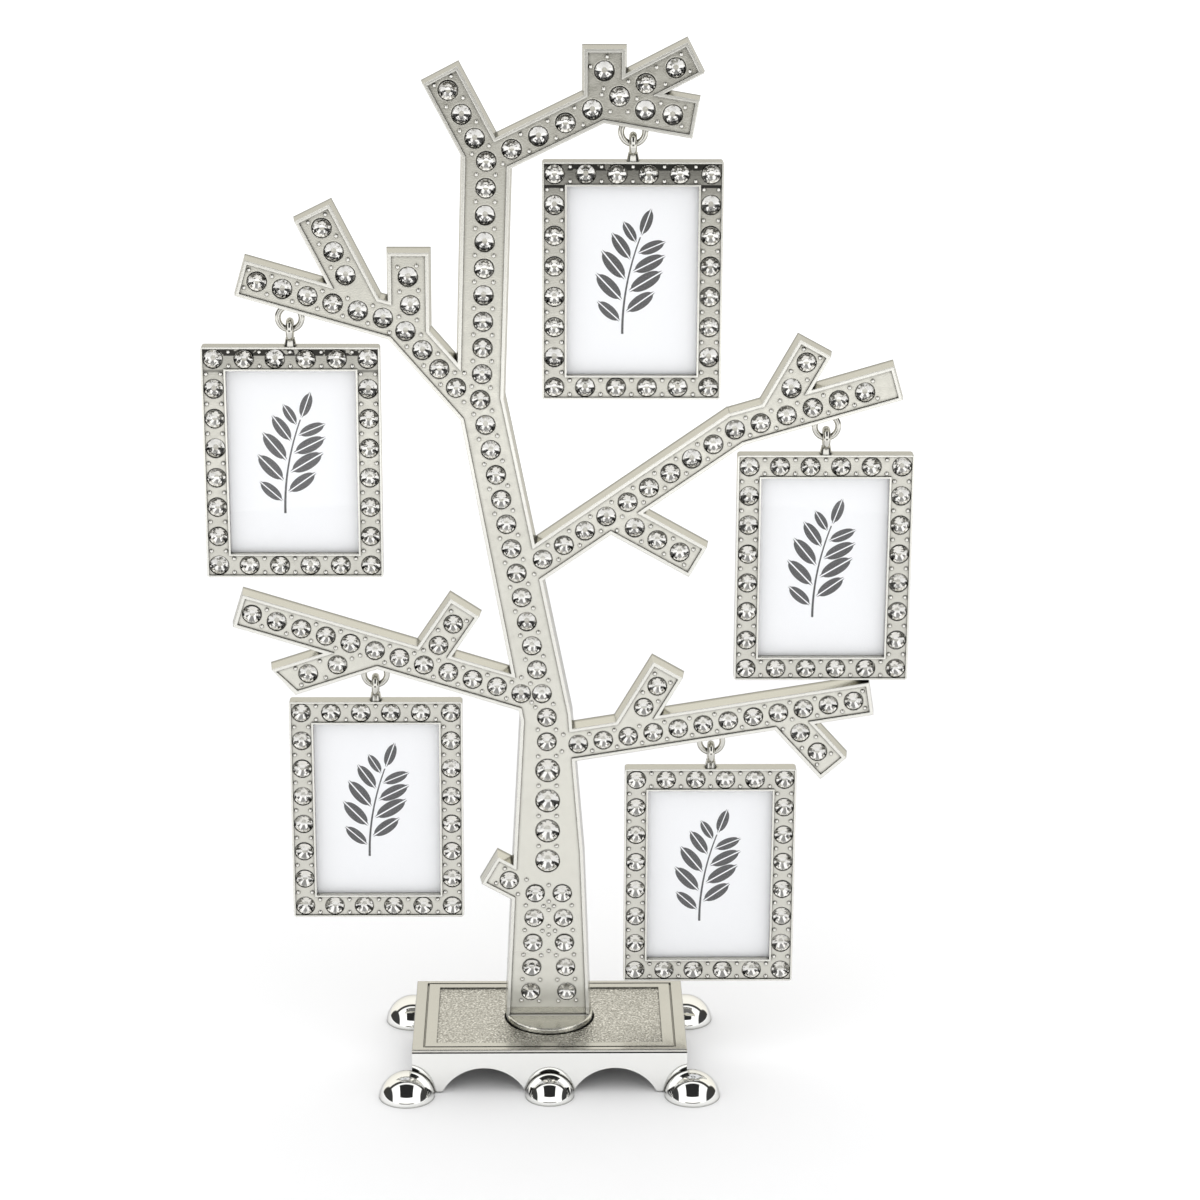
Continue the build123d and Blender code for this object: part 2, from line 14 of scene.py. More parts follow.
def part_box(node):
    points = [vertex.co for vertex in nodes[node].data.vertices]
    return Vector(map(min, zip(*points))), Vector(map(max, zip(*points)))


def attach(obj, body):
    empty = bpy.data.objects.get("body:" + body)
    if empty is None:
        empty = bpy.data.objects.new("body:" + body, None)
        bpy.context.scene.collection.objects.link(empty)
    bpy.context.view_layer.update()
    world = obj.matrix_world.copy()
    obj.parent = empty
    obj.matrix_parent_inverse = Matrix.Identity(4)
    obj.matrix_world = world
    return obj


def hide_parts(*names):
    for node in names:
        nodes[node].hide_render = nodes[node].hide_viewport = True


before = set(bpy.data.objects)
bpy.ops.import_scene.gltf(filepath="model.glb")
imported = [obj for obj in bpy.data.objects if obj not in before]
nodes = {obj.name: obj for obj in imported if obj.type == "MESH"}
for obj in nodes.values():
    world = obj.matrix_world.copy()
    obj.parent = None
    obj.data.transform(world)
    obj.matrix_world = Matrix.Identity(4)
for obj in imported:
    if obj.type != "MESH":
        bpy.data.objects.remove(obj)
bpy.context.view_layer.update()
MM = 0.001
PLACES = ("upper_left", "top_right", "mid_right", "lower_left", "lower_right")

# %% [markdown]
# ## Camera
# The picture was taken from the front and a little above, with a long lens, so the frames stay nearly square.
# A camera is an object that looks along its own -Z. It is turned up from straight down by a right angle less
# the pitch, then round by a small yaw and roll that a hand-placed camera always has.

# %% Camera
CAMERA_PLACE = Vector((-4.75, -864.28, 420.25)) * MM
CAMERA_PITCH = math.radians(18.298)
CAMERA_YAW = 0.018
CAMERA_ROLL = 0.005
CAMERA_LENS = 102.16
CAMERA_SENSOR = 36.0

bpy.ops.object.select_all(action="DESELECT")
bpy.ops.object.camera_add(location=CAMERA_PLACE)
camera = bpy.context.object
camera.name = "front_camera"
camera_turn = (
    Matrix.Rotation(-CAMERA_YAW, 4, "Z")
    @ Matrix.Rotation(math.pi / 2 - CAMERA_PITCH, 4, "X")
    @ Matrix.Rotation(CAMERA_ROLL, 4, "Z")
)
camera.rotation_euler = camera_turn.to_euler()
camera.data.lens = CAMERA_LENS
camera.data.sensor_width = CAMERA_SENSOR
bpy.context.scene.camera = camera
print("camera at", [round(v, 3) for v in camera.location])

# %% [markdown]
# ## Helpers for shader nodes
# Every finish below is a small graph of nodes. These helpers add one node each and give back the socket that
# the next one reads, so that a finish reads from top to bottom like a recipe.

# %% Helpers for nodes
# A Mix node has sockets of the same names for numbers, vectors and colours, so its colours go by number.
MIX_FIRST, MIX_SECOND, MIX_RESULT = 6, 7, 2


def new_finish(name):
    """A new material, its node tree and its main shader."""
    finish = bpy.data.materials.new(name)
    finish.use_nodes = True
    tree = finish.node_tree
    return finish, tree, tree.nodes["Principled BSDF"]


def add_node(tree, kind, settings=None, **inputs):
    """A node of a kind, with settings of its own and values or sockets for its inputs."""
    node = tree.nodes.new(kind)
    for name, value in (settings or {}).items():
        setattr(node, name, value)
    for name, value in inputs.items():
        feed(tree, node.inputs[name.replace("_", " ")], value)
    return node


def feed(tree, socket, value):
    """Give an input a number or colour of its own, or a link from another socket."""
    if isinstance(value, bpy.types.NodeSocket):
        tree.links.new(value, socket)
    elif isinstance(value, tuple) and len(value) == 3 and socket.type == "RGBA":
        socket.default_value = (*value, 1)
    else:
        socket.default_value = value


def calc(tree, operation, first, second=0.0):
    """One sum of two numbers or sockets."""
    made = add_node(tree, "ShaderNodeMath", {"operation": operation})
    feed(tree, made.inputs[0], first)
    feed(tree, made.inputs[1], second)
    return made.outputs["Value"]


def product(tree, *masks):
    """The product of some masks."""
    made = masks[0]
    for mask in masks[1:]:
        made = calc(tree, "MULTIPLY", made, mask)
    return made


def spread(tree, value, low, high, start=0.3, end=0.7):
    """A value from start to end stretched to run from low to high."""
    made = add_node(
        tree, "ShaderNodeMapRange", Value=value, From_Min=start, From_Max=end, To_Min=low, To_Max=high
    )
    return made.outputs["Result"]


def mixed(tree, factor, first, second):
    """A colour that goes from first to second with a factor."""
    made = add_node(tree, "ShaderNodeMix", {"data_type": "RGBA"}, Factor=factor)
    feed(tree, made.inputs[MIX_FIRST], first)
    feed(tree, made.inputs[MIX_SECOND], second)
    return made.outputs[MIX_RESULT]


def noise(tree, place, scale, detail=3.0):
    """Cloudy noise, scale in patches to the metre, over a place socket."""
    return add_node(tree, "ShaderNodeTexNoise", Vector=place, Scale=scale, Detail=detail).outputs["Fac"]


def object_place(tree):
    """The place on the object, in metres, which stays with the piece as it moves."""
    return tree.nodes.new("ShaderNodeTexCoord").outputs["Object"]


def split(tree, place):
    """A place's X, Y and Z sockets."""
    return add_node(tree, "ShaderNodeSeparateXYZ", Vector=place).outputs


def source_of(shader, name):
    """The socket that an input of a shader is linked to."""
    return shader.inputs[name].links[0].from_socket


def lay_over(tree, shader, mask, colour):
    """Lay a colour over a finish where a mask is 1."""
    feed(tree, shader.inputs["Base Color"], mixed(tree, mask, source_of(shader, "Base Color"), colour))


print("helpers ready")

# %% [markdown]
# ## Floor
# The tree stands on a round white table with a rolled edge. A disc is drawn, its rim is extruded down,
# and the upper edge is rounded by a bevel. The paper is a little uneven so that its soft shadows look real.

# %% Floor
TABLE_RADIUS = 0.55
TABLE_CORNERS = 96
TABLE_THICKNESS = 0.02
TABLE_ROLL = 0.008
TABLE_SMOOTH = math.radians(40)

bpy.ops.object.select_all(action="DESELECT")
bpy.ops.mesh.primitive_circle_add(
    vertices=TABLE_CORNERS, radius=TABLE_RADIUS, fill_type="NGON", location=(0, 0, 0)
)
table = bpy.context.object
table.name = "white_table"
bpy.ops.object.mode_set(mode="EDIT")
bpy.ops.mesh.select_mode(type="FACE")
bpy.ops.mesh.select_all(action="SELECT")
bpy.ops.mesh.extrude_region_move(TRANSFORM_OT_translate={"value": (0, 0, -TABLE_THICKNESS)})
bpy.ops.mesh.select_all(action="SELECT")
bpy.ops.mesh.normals_make_consistent(inside=False)
bpy.ops.mesh.select_mode(type="EDGE")
bpy.ops.mesh.select_all(action="DESELECT")
bpy.ops.object.mode_set(mode="OBJECT")
for edge in table.data.edges:
    edge.select = all(table.data.vertices[i].co.z > -MM for i in edge.vertices)
bpy.ops.object.mode_set(mode="EDIT")
bpy.ops.mesh.bevel(offset=TABLE_ROLL, segments=4, profile=0.5)
bpy.ops.object.mode_set(mode="OBJECT")
bpy.ops.object.shade_smooth_by_angle(angle=TABLE_SMOOTH)
print("table faces:", len(table.data.polygons))

# %% Paper of the floor
PAPER_DARK = (0.895, 0.895, 0.898)
PAPER_LIGHT = (0.912, 0.912, 0.915)
PAPER_PATCHES = 3.0

paper, paper_tree, paper_shader = new_finish("table_paper")
paper_clouds = noise(paper_tree, object_place(paper_tree), PAPER_PATCHES)
feed(paper_tree, paper_shader.inputs["Base Color"], mixed(paper_tree, paper_clouds, PAPER_DARK, PAPER_LIGHT))
paper_shader.inputs["Roughness"].default_value = 0.8
paper_shader.inputs["Specular IOR Level"].default_value = 0.1
table.data.materials.append(paper)
print("made", paper.name)

# %% [markdown]
# ## Light
# Shiny metal shows its surroundings, so the studio matters as much as the finish. A white tent of light
# stands round the table. Mirrors and glass also see what breaks its white: a black opening over the front,
# between two soft boxes, a dark hoop behind it, a dark post on each side, and a dim warm room beyond the
# table. They give the domes and the stones their dark spots, and the edges their thin dark lines. All of this
# is in the world's shader, where Object coordinates give a direction, and these helpers draw its parts.

# %% Helpers for the tent
tent = bpy.data.worlds.new("light_tent")
tent.use_nodes = True
bpy.context.scene.world = tent
tent_tree = tent.node_tree
across, along, upward = split(tent_tree, object_place(tent_tree))
aside = calc(tent_tree, "ABSOLUTE", across)


def rise(value, start, end):
    """0 before start and 1 after end, soft between; falls where start is above end."""
    smooth = {"interpolation_type": "SMOOTHSTEP"}
    made = add_node(tent_tree, "ShaderNodeMapRange", smooth, Value=value, From_Min=start, From_Max=end)
    return made.outputs["Result"]


def over(level, glow, mask):
    """A level with another glow laid over it where the mask is 1."""
    return spread(tent_tree, mask, level, glow, 0.0, 1.0)


print("made", tent.name)

# %% [markdown]
# Each part of the tent has edges, given as shares of a unit vector that points at it. A pair says where an
# edge starts and where it ends, because a lamp's edge is never quite sharp.

# %% Parts of the tent
FRONT_EDGE = (0.05, -0.25)
BEHIND_EDGE = (-0.10, 0.30)
ROOM_SIDES = (0.60, 0.42)
ROOM_FOOT = (-0.28, -0.13)
ROOM_TOP = (0.10, 0.04)
OPENING_FRONT = (-0.06, -0.12)
OPENING_SIDES = (0.46, 0.42)
OPENING_FOOT = (0.42, 0.47)
HOOP_FRONT = (0.02, 0.06)
HOOP_BACK = (0.26, 0.20)
HOOP_FOOT = (-0.05, 0.05)
POST_SIDES = (0.82, 0.87)
POST_FOOT = (-0.10, 0.0)

in_front = rise(along, *FRONT_EDGE)
behind = rise(along, *BEHIND_EDGE)
room = product(
    tent_tree, in_front, rise(aside, *ROOM_SIDES), rise(upward, *ROOM_FOOT), rise(upward, *ROOM_TOP)
)
opening = product(
    tent_tree, rise(along, *OPENING_FRONT), rise(aside, *OPENING_SIDES), rise(upward, *OPENING_FOOT)
)
hoop = product(tent_tree, rise(along, *HOOP_FRONT), rise(along, *HOOP_BACK), rise(upward, *HOOP_FOOT))
post = product(tent_tree, rise(aside, *POST_SIDES), rise(upward, *POST_FOOT))
print("tent nodes:", len(tent_tree.nodes))

# %% [markdown]
# The parts are laid one over the other, like paper cut-outs. Only reflections see them, so the background
# stays plain. Rays that leave a stone see the room and the opening lighter, because the many bounces in a
# real stone mix them with the white.

# %% World
TENT_GLOW = 1.2
BEHIND_GLOW = 1.06
BOX_GLOW = 1.42
ROOM_GLOW = 0.14
ROOM_IN_GLASS = 0.62
OPENING_GLOW = 0.025
OPENING_IN_GLASS = 0.34
HOOP_GLOW = 0.05
POST_GLOW = 0.05
WARM = (1.0, 0.975, 0.90)
WHITE = (1.0, 1.0, 1.0)

rays = tent_tree.nodes.new("ShaderNodeLightPath").outputs
in_glass = rays["Is Transmission Ray"]
mirror_level = over(BEHIND_GLOW, BOX_GLOW, in_front)
mirror_level = over(mirror_level, over(ROOM_GLOW, ROOM_IN_GLASS, in_glass), room)
mirror_level = over(mirror_level, HOOP_GLOW, hoop)
mirror_level = over(mirror_level, POST_GLOW, post)
mirror_level = over(mirror_level, over(OPENING_GLOW, OPENING_IN_GLASS, in_glass), opening)
mirrored = calc(tent_tree, "MAXIMUM", rays["Is Glossy Ray"], in_glass)
mirrored = calc(tent_tree, "MAXIMUM", mirrored, rays["Is Singular Ray"])
backdrop = tent_tree.nodes["Background"].inputs
feed(tent_tree, backdrop["Strength"], over(TENT_GLOW, mirror_level, mirrored))
warmth = product(tent_tree, mirrored, calc(tent_tree, "MAXIMUM", room, behind))
feed(tent_tree, backdrop["Color"], mixed(tent_tree, warmth, WHITE, WARM))
bpy.context.scene.view_settings.view_transform = "Standard"
print("tent glow", TENT_GLOW)

# %% [markdown]
# ## Nickel
# The tree, the frames and the base are cast metal plated with warm nickel. One flat grey would look like
# plastic, so the tone drifts a little across a piece, the roughness is cloudy, and a fine grain breaks up the
# reflections. A Bevel node rounds the sharp CAD edges in the shading only, so that each edge catches a thin
# line of light. An Ambient Occlusion node darkens corners and the places where other pieces come close:
# partly the tarnish a cast piece keeps there, partly painted shade. Rims that stand proud are rubbed smoother
# by hands and cloths, and painted brighter and less metallic as a painted highlight; they are found by how
# far forward they stand.

# %% Nickel
TONE_PATCHES = 55.0
HAZE_PATCHES = 420.0
# Tarnish and painted shade: the colour that the Ambient Occlusion below lays into corners and beside other
# pieces.
TARNISH_AND_SHADE = (0.13, 0.125, 0.108)
TARNISH_AND_SHADE_REACH = 0.9 * MM
TARNISH_AND_SHADE_OPENNESS = (0.56, 0.88)
# Painted highlight: rubbed rims get a brighter colour and less metal, so they read brighter than the panel.
RIM_HIGHLIGHT_TONE = (0.80, 0.792, 0.742)
RIM_HIGHLIGHT_METALLIC = 0.70
RIM_POLISH = 0.55
RIM_SOFT = 0.04 * MM
RIM_REACH = 1.0 * MM
EDGE_TINT = (0.62, 0.62, 0.62)


def worn_and_highlit_rim(tree, place, level):
    """1 on a rim that stands just in front of a level, and 0 elsewhere."""
    front = split(tree, place)["Y"]
    ahead = spread(tree, front, 1.0, 0.0, level - RIM_SOFT, level + RIM_SOFT)
    return product(tree, ahead, calc(tree, "GREATER_THAN", front, level - RIM_REACH))


def metal(name, tones, polish, grain, grain_depth, edge_radius, rim_level=None):
    """A metal finish: two tones, a range of roughness, a fine grain, and tarnish and painted shade in
    corners.

    In front of rim_level, where it is given, the metal is smoother, as a rubbed rim is, and painted brighter
    and less metallic, a painted highlight.
    """
    finish, tree, shader = new_finish(name)
    place = object_place(tree)
    tone = mixed(tree, noise(tree, place, TONE_PATCHES), *tones)
    haze = spread(tree, noise(tree, place, HAZE_PATCHES), *polish)
    shader.inputs["Metallic"].default_value = 1.0
    if rim_level is not None:
        # Painted highlight on the rim: a brighter colour and less metal, besides its smoother rubbed polish.
        rim_wear_and_highlight = worn_and_highlit_rim(tree, place, rim_level)
        tone = mixed(tree, rim_wear_and_highlight, tone, RIM_HIGHLIGHT_TONE)
        haze = product(tree, haze, spread(tree, rim_wear_and_highlight, 1.0, RIM_POLISH, 0.0, 1.0))
        feed(tree, shader.inputs["Metallic"], spread(tree, rim_wear_and_highlight, 1.0, RIM_HIGHLIGHT_METALLIC, 0.0, 1.0))
    # Painted shade with tarnish: the Ambient Occlusion darkens corners and the places where other pieces come
    # close.
    corners = add_node(tree, "ShaderNodeAmbientOcclusion", {"samples": 6}, Distance=TARNISH_AND_SHADE_REACH)
    clean_and_unshaded = spread(tree, corners.outputs["AO"], 0.0, 1.0, *TARNISH_AND_SHADE_OPENNESS)
    feed(tree, shader.inputs["Base Color"], mixed(tree, clean_and_unshaded, TARNISH_AND_SHADE, tone))
    feed(tree, shader.inputs["Roughness"], haze)
    feed(tree, shader.inputs["Specular Tint"], EDGE_TINT)
    rounded = add_node(tree, "ShaderNodeBevel", {"samples": 4}, Radius=edge_radius).outputs["Normal"]
    grains = noise(tree, place, grain, 2.0)
    bump = add_node(
        tree, "ShaderNodeBump", Strength=1.0, Distance=grain_depth, Height=grains, Normal=rounded
    )
    feed(tree, shader.inputs["Normal"], bump.outputs["Normal"])
    return finish, tree, shader


print("nickel ready")

# %% [markdown]
# ## Nickel of the tree
# The tree is satin, with a rim that is rubbed smoother and painted brighter, a painted highlight. Two things
# change along it. Near its foot the plating is frosted, less of a mirror and more like paint, but the round
# flange and the rim just above it are bright again. And the back edge of every limb is painted darker, a
# painted shade in place of the darker reflection there, which draws a thin dark line round the tree.

# %% Nickel of the tree
SATIN_GRAIN = 2600.0
TREE_FRONT = -2.75 * MM
RIM_STEP = 0.5 * MM
FROST_METALLIC = 0.45
FROST_START = 16.3 * MM
FROST_FROM = 18.0 * MM
FROST_TO = 46.0 * MM
# Where and how dark the painted shade on the back edge of the limbs is.
BACK_EDGE_FROM = 1.1 * MM
BACK_EDGE_TO = 2.5 * MM
BACK_EDGE_SHADE_STRENGTH = 0.88
BACK_EDGE_SHADE_TONE = (0.27, 0.265, 0.235)
BACK_FACE_SKIN = 0.02 * MM

tree_nickel, tree_tree, tree_shader = metal(
    "tree_nickel",
    tones=((0.685, 0.675, 0.610), (0.755, 0.745, 0.680)),
    polish=(0.15, 0.25),
    grain=SATIN_GRAIN,
    grain_depth=0.010 * MM,
    edge_radius=0.42 * MM,
    rim_level=TREE_FRONT + RIM_STEP / 2,
)
_, tree_y, tree_z = split(tree_tree, object_place(tree_tree))
frost = spread(tree_tree, tree_z, FROST_METALLIC, 1.0, FROST_FROM, FROST_TO)
frost = calc(tree_tree, "MAXIMUM", frost, calc(tree_tree, "LESS_THAN", tree_z, FROST_START))
frosted = calc(tree_tree, "MINIMUM", source_of(tree_shader, "Metallic"), frost)
feed(tree_tree, tree_shader.inputs["Metallic"], frosted)
# Painted shade: the back edge of each limb is darkened, a dark outline in place of the darker reflection
# there.
back_edge_shade = product(
    tree_tree,
    spread(tree_tree, tree_y, 0.0, BACK_EDGE_SHADE_STRENGTH, BACK_EDGE_FROM, BACK_EDGE_TO),
    calc(tree_tree, "LESS_THAN", tree_y, -TREE_FRONT - BACK_FACE_SKIN),
    calc(tree_tree, "GREATER_THAN", tree_z, FROST_START),
)
lay_over(tree_tree, tree_shader, back_edge_shade, BACK_EDGE_SHADE_TONE)
print("made", tree_nickel.name)

# %% [markdown]
# ## Nickel of the frames
# The frames share one finish, a little darker than the tree. The two upper ones also get painted shade in the
# top of their stone channel, in place of the shade and dark reflection under the rim: a ragged strip under
# the rim, a step below the first row of stones, and a shade that fades down the sides. Each is found by its
# height below the top of its frame.

# %% Nickel of the frames
FRAME_FRONT = -2.0 * MM
CHANNEL_DEPTH = 0.4 * MM
# How dark the painted shade in the channel is, by frame.
CHANNEL_SHADE = {"upper_left": 0.32, "top_right": 0.62}
CHANNEL_SHADE_TONE = (0.045, 0.044, 0.040)
CHANNEL_SHADE_PATCHES = 420.0
CHANNEL_SHADE_RAGGED = (0.41, 0.45)
FLOOR_NEAR = FRAME_FRONT + 0.2 * MM
FLOOR_FAR = FRAME_FRONT + 0.7 * MM
CHANNEL_TOP = 0.68 * MM
CHANNEL_LOW = 6.0 * MM
STRIP_DEPTH = 1.9 * MM
STEP_HEIGHT = 0.9 * MM
SHARP = 0.1 * MM


def frame_metal(name):
    """The finish of the frames, with a rubbed rim that carries a painted highlight."""
    return metal(
        name,
        tones=((0.600, 0.590, 0.535), (0.675, 0.665, 0.608)),
        polish=(0.13, 0.23),
        grain=SATIN_GRAIN,
        grain_depth=0.010 * MM,
        edge_radius=0.3 * MM,
        rim_level=FRAME_FRONT + CHANNEL_DEPTH / 2,
    )


def band(tree, value, low, high):
    """1 where a coordinate is between low and high."""
    over_low = spread(tree, value, 0.0, 1.0, low, low + SHARP)
    return product(tree, over_low, spread(tree, value, 1.0, 0.0, high - SHARP, high))


def frame_with_channel_shade(name, depth):
    """The frame finish with painted shade in the top of the channel of one frame node."""
    finish, tree, shader = frame_metal("frame_nickel_" + name)
    frame_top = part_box(name + "_frame")[1].z
    channel_top = frame_top - CHANNEL_TOP
    channel_low = frame_top - CHANNEL_LOW
    strip_foot = channel_top - STRIP_DEPTH
    spot = object_place(tree)
    _, spot_y, spot_z = split(tree, spot)
    under_rim = spread(tree, spot_z, 1.0, 0.0, channel_top, channel_top + SHARP)
    channel = product(tree, band(tree, spot_y, FLOOR_NEAR, FLOOR_FAR), under_rim)
    strip = spread(tree, spot_z, 0.0, 1.0, strip_foot, strip_foot + 3 * SHARP)
    patches = spread(tree, noise(tree, spot, CHANNEL_SHADE_PATCHES, 2.0), 0.0, 1.0, *CHANNEL_SHADE_RAGGED)
    step = band(tree, spot_z, channel_low - STEP_HEIGHT, channel_low)
    fade = spread(tree, spot_z, 0.0, depth, channel_low - CHANNEL_LOW, frame_top - CHANNEL_LOW / 2)
    # Painted shade: a ragged strip under the rim, a step below the first row, and a fade down the sides.
    painted_channel_shade = calc(tree, "MAXIMUM", product(tree, strip, patches), product(tree, step, 2 * depth))
    lay_over(tree, shader, product(tree, channel, calc(tree, "MAXIMUM", painted_channel_shade, fade)), CHANNEL_SHADE_TONE)
    return finish


frame_nickel, _, _ = frame_metal("frame_nickel")
frame_finishes = {name + "_frame": frame_with_channel_shade(name, depth) for name, depth in CHANNEL_SHADE.items()}
print("made", frame_nickel.name, list(frame_finishes))

# %% [markdown]
# ## Polished nickel
# The base's apron and the feet are buffed to a mirror. A mirror still needs some life: the buffing leaves
# faint waves and a haze that comes and goes. The rings and eyes are the same metal, handled more and duller.
# The hidden screws and nuts are plain steel.


# %% Polished nickel
def mirror_metal(name):
    """Buffed nickel with faint waves."""
    return metal(
        name,
        tones=((0.91, 0.91, 0.885), (0.95, 0.95, 0.93)),
        polish=(0.02, 0.05),
        grain=160.0,
        grain_depth=0.004 * MM,
        edge_radius=0.14 * MM,
    )


polished_nickel, _, _ = mirror_metal("polished_nickel")
wire_nickel, _, _ = metal(
    "wire_nickel",
    tones=((0.60, 0.59, 0.545), (0.68, 0.67, 0.625)),
    polish=(0.08, 0.15),
    grain=700.0,
    grain_depth=0.006 * MM,
    edge_radius=0.12 * MM,
)
plain_steel, _, _ = metal(
    "plain_steel",
    tones=((0.44, 0.44, 0.44), (0.54, 0.54, 0.535)),
    polish=(0.28, 0.42),
    grain=900.0,
    grain_depth=0.02 * MM,
    edge_radius=0.1 * MM,
)
print("made", polished_nickel.name, wire_nickel.name, plain_steel.name)

# %% [markdown]
# ## The apron
# Only the outside of the apron is buffed. Its inside is painted near black, a painted shade for the shadow
# under the base that shows under the arches, and a thin line of painted shade marks the groove where the top
# plate meets it. Both are found by place.

# %% Apron
STAND_X = -2.7 * MM
APRON_INSIDE_HALF_WIDTH = 35.4 * MM
APRON_INSIDE_HALF_DEPTH = 20.4 * MM
# Near-black painted shade: inside the apron, in the groove at its top and under the plate.
PAINTED_SHADE_TONE = (0.055, 0.055, 0.053)
JOINT_SHADE_WIDTH = 0.22 * MM
PANEL_SOFT_EDGE = 0.08 * MM


def within(tree, value, middle, half):
    """1 where a coordinate is within half of the middle, with a narrow soft edge."""
    away = calc(tree, "ABSOLUTE", calc(tree, "SUBTRACT", value, middle))
    return spread(tree, away, 1.0, 0.0, half - PANEL_SOFT_EDGE, half)


apron_nickel, apron_tree, apron_shader = mirror_metal("apron_nickel")
apron_x, apron_y, apron_z = split(apron_tree, object_place(apron_tree))
inside = product(
    apron_tree,
    within(apron_tree, apron_x, STAND_X, APRON_INSIDE_HALF_WIDTH),
    within(apron_tree, apron_y, 0.0, APRON_INSIDE_HALF_DEPTH),
)
# Painted shade inside the apron, where the base shades the arches.
lay_over(apron_tree, apron_shader, inside, PAINTED_SHADE_TONE)
apron_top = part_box("base_apron")[1].z
# Painted shade in the groove where the top plate meets the apron.
joint_shade = calc(apron_tree, "GREATER_THAN", apron_z, apron_top - JOINT_SHADE_WIDTH)
lay_over(apron_tree, apron_shader, joint_shade, PAINTED_SHADE_TONE)
print("made", apron_nickel.name)

# %% [markdown]
# ## Stippled panel of the base
# The middle of the base's top is stamped with a coarse grain that looks greyer than the bands round it. The
# top plate is one CAD node, so its material finds the panel by place: inside the border, above the underside.
# A Voronoi texture gives the pits and noise breaks them up, as in a stamped grain. Low grains get a painted
# shade and high ones a painted highlight, and the underside is painted near black as painted shade.

# %% Stippled plate
PANEL_HALF_WIDTH = 30.9 * MM
PANEL_HALF_DEPTH = 17.9 * MM
PANEL_REACH = 1.0 * MM
UNDERSIDE_DEPTH = 1.2 * MM
STAMP_DEPTH = 0.20 * MM
STAMP_PITS = 1450.0
STAMP_GRAINS = 1900.0
PIT_SHARE = 0.6
# Painted shade on the low grains and painted highlight on the high ones: how strong, and from which grain to
# which.
PIT_SHADE_STRENGTH = 0.56
PIT_GRAINS = (0.40, 0.54)
PIT_SHADE_TONE = (0.24, 0.23, 0.205)
FLECK_HIGHLIGHT_STRENGTH = 0.9
FLECK_GRAINS = (0.56, 0.66)
FLECK_HIGHLIGHT_TONE = (0.97, 0.96, 0.92)

stippled_nickel, plate_tree, plate_shader = metal(
    "stippled_nickel",
    tones=((0.62, 0.61, 0.56), (0.69, 0.68, 0.63)),
    polish=(0.17, 0.27),
    grain=SATIN_GRAIN,
    grain_depth=0.012 * MM,
    edge_radius=0.18 * MM,
)
plate_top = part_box("base_plate")[1].z
plate_place = object_place(plate_tree)
plate_x, plate_y, plate_z = split(plate_tree, plate_place)
stamped = product(
    plate_tree,
    within(plate_tree, plate_x, STAND_X, PANEL_HALF_WIDTH),
    within(plate_tree, plate_y, 0.0, PANEL_HALF_DEPTH),
    calc(plate_tree, "GREATER_THAN", plate_z, plate_top - PANEL_REACH),
)
pits = add_node(plate_tree, "ShaderNodeTexVoronoi", Vector=plate_place, Scale=STAMP_PITS).outputs["Distance"]
grains = noise(plate_tree, plate_place, STAMP_GRAINS, 4.0)
plate_bump = add_node(
    plate_tree,
    "ShaderNodeBump",
    Strength=stamped,
    Distance=STAMP_DEPTH,
    Height=calc(plate_tree, "ADD", calc(plate_tree, "MULTIPLY", pits, PIT_SHARE), grains),
    Normal=source_of(plate_shader, "Normal"),
)
feed(plate_tree, plate_shader.inputs["Normal"], plate_bump.outputs["Normal"])
# Painted shade in the pits and painted highlight on the flecks of the stamped panel.
pit_shade = product(plate_tree, stamped, spread(plate_tree, grains, PIT_SHADE_STRENGTH, 0.0, *PIT_GRAINS))
lay_over(plate_tree, plate_shader, pit_shade, PIT_SHADE_TONE)
fleck_highlights = product(plate_tree, stamped, spread(plate_tree, grains, 0.0, FLECK_HIGHLIGHT_STRENGTH, *FLECK_GRAINS))
lay_over(plate_tree, plate_shader, fleck_highlights, FLECK_HIGHLIGHT_TONE)
# Painted shade on the underside of the plate.
underside = calc(plate_tree, "LESS_THAN", plate_z, plate_top - UNDERSIDE_DEPTH)
lay_over(plate_tree, plate_shader, underside, PAINTED_SHADE_TONE)
print("made", stippled_nickel.name)

# %% [markdown]
# ## Clear sheet, card and back plate
# Each frame holds a clear plastic sheet over a white card, and a lacquered plate closes the back.
# A thin sheet needs no true glass: a faint mirror that lets most of the card show through looks the same,
# and does not darken the card with refracted shadows.

# %% Clear sheet, card and back plate
SHEET_MIRROR = 0.035
SHEET_SMEARS = 90.0
SHEET_HAZE = (0.0, 0.04)

clear_sheet, sheet_tree, sheet_shader = new_finish("clear_sheet")
sheet_haze = spread(sheet_tree, noise(sheet_tree, object_place(sheet_tree), SHEET_SMEARS), *SHEET_HAZE)
feed(sheet_tree, sheet_shader.inputs["Roughness"], sheet_haze)
sheet_shader.inputs["Base Color"].default_value = (1, 1, 1, 1)
sheet_shader.inputs["Metallic"].default_value = 1.0
sheet_shader.inputs["Alpha"].default_value = SHEET_MIRROR


def grained(name, scale, dark, light, depth, roughness):
    """A matt finish with a fine grain in its colour and its surface."""
    finish, tree, shader = new_finish(name)
    grain = noise(tree, object_place(tree), scale, 4.0)
    feed(tree, shader.inputs["Base Color"], mixed(tree, grain, dark, light))
    bump = add_node(tree, "ShaderNodeBump", Strength=0.5, Distance=depth, Height=grain)
    feed(tree, shader.inputs["Normal"], bump.outputs["Normal"])
    shader.inputs["Roughness"].default_value = roughness
    return finish


